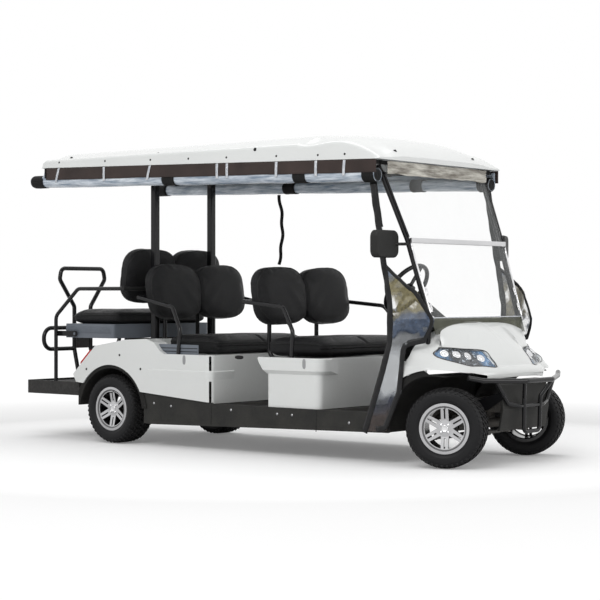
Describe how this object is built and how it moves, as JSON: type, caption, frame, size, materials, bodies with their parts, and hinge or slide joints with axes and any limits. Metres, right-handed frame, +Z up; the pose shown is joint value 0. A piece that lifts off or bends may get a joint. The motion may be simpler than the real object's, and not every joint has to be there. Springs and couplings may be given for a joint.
{
  "type": "six-seat golf cart",
  "caption": "Electric golf cart with two forward benches, a rear-facing flip seat, a long roof, a folding windshield and rolled side curtains.",
  "frame": {"origin": "on the ground under the middle of the overall box", "axes": "+X forward, +Y to the driver's left, +Z up"},
  "size_m": [3.885, 1.473, 1.978],
  "materials": {
    "white_body": "smooth",
    "black_plastic": "fine grain",
    "black_frame": "satin",
    "dark_frame": "satin",
    "cushion": "grained",
    "tyre": "worn",
    "rim": "satin",
    "chrome": "polished",
    "pane": "clear",
    "clear_sheet": "soft clear",
    "curtain": "soft",
    "lamp": "clear",
    "red_lamp": "clear",
    "deck": "textured",
    "cast": "machined",
    "battery": "plain",
    "floor": "ribbed mat"
  },
  "bodies": {
    "chassis": {"arm_rails": "black_frame", "backrest_frames": "black_frame", "battery_pack": "battery", "brush_guard": "black_frame", "chassis_frame": "dark_frame", "curtain_roll_left": "curtain", "curtain_roll_right": "curtain", "dashboard": "black_plastic", "drive_motor": "cast", "floor_pan": "floor", "front_axle_beam": "dark_frame", "front_backrest": "cushion", "front_cowl": "white_body", "front_seat_pod": "white_body", "headlights": "lamp", "leaf_springs": "dark_frame", "lower_fascia": "black_plastic", "mirrors": "black_plastic", "pedals": "black_plastic", "quarter_curtain_left": "clear_sheet", "quarter_curtain_right": "clear_sheet", "rack_housing": "cast", "rear_axle": "dark_frame", "rear_backrest": "cushion", "rear_body": "white_body", "rear_grab_bar": "black_frame", "rear_roof_posts": "black_frame", "rear_seat_base": "dark_frame", "rear_step": "black_plastic", "roof_frame": "dark_frame", "roof_shell": "white_body", "second_backrest": "cushion", "side_skirts": "black_plastic", "steering_column": "black_plastic", "tail_lights": "red_lamp", "wheel_liners": "black_plastic", "windshield_lower": "pane", "windshield_rail": "chrome", "windshield_struts": "black_frame", "windshield_upper": "pane"},
    "knuckle_left": {"knuckle_left": "cast"},
    "knuckle_right": {"knuckle_right": "cast"},
    "wheel_front_left": {"tyre_front_left": "tyre", "rim_front_left": "rim"},
    "wheel_front_right": {"tyre_front_right": "tyre", "rim_front_right": "rim"},
    "wheel_rear_left": {"tyre_rear_left": "tyre", "rim_rear_left": "rim"},
    "wheel_rear_right": {"tyre_rear_right": "tyre", "rim_rear_right": "rim"},
    "steering_wheel": {"steering_wheel": "black_plastic"},
    "steering_rack": {"steering_rack": "cast"},
    "front_bench": {"front_cushion": "cushion"},
    "second_bench": {"second_cushion": "cushion"},
    "flip_seat": {"rear_cushion": "cushion", "flip_deck": "deck"}
  },
  "joints": [
    {"name": "steer_left", "type": "hinge", "parent": "chassis", "child": "knuckle_left", "pos_m": [1.5745, 0.3975, 0.23], "axis": [0, 0, 1], "range_deg": [-51, 5]},
    {"name": "steer_right", "type": "hinge", "parent": "chassis", "child": "knuckle_right", "pos_m": [1.5745, -0.3975, 0.23], "axis": [0, 0, 1], "range_deg": [-51.2, 5.2]},
    {"name": "rack_slide", "type": "slide", "parent": "chassis", "child": "steering_rack", "axis": [0, 1, 0], "range_m": [-0.0085, 0.0815]},
    {"name": "steering_wheel_turn", "type": "hinge", "parent": "chassis", "child": "steering_wheel", "pos_m": [0.7775, 0.27, 1.03], "axis": [-0.8192, 0, 0.5736], "range_deg": [-616, 64]},
    {"name": "front_left_spin", "type": "hinge", "parent": "knuckle_left", "child": "wheel_front_left", "pos_m": [1.53543, 0.48955, 0.23], "axis": [-0.3907, 0.9205, 0], "continuous": true},
    {"name": "front_right_spin", "type": "hinge", "parent": "knuckle_right", "child": "wheel_front_right", "pos_m": [1.61357, -0.48955, 0.23], "axis": [-0.3907, 0.9205, 0], "continuous": true},
    {"name": "rear_left_spin", "type": "hinge", "parent": "chassis", "child": "wheel_rear_left", "pos_m": [-1.0275, 0.4975, 0.23], "axis": [0, 1, 0], "continuous": true},
    {"name": "rear_right_spin", "type": "hinge", "parent": "chassis", "child": "wheel_rear_right", "pos_m": [-1.0275, -0.4975, 0.23], "axis": [0, 1, 0], "continuous": true},
    {"name": "front_bench_lid", "type": "hinge", "parent": "chassis", "child": "front_bench", "pos_m": [0.6875, 0, 0.6063], "axis": [0, 1, 0], "range_deg": [0, 45]},
    {"name": "second_bench_lid", "type": "hinge", "parent": "chassis", "child": "second_bench", "pos_m": [-0.1725, 0, 0.6063], "axis": [0, 1, 0], "range_deg": [0, 45]},
    {"name": "flip_seat_turn", "type": "hinge", "parent": "chassis", "child": "flip_seat", "pos_m": [-1.4775, 0, 0.722], "axis": [0, -1, 0], "range_deg": [0, 180]}
  ],
  "couplings": [
    {"joint": "steer_right", "follows": "steer_left", "ratio": 1},
    {"joint": "rack_slide", "follows": "steer_left", "m_per_rad": -0.0907},
    {"joint": "steering_wheel_turn", "follows": "steer_left", "ratio": 12}
  ]
}
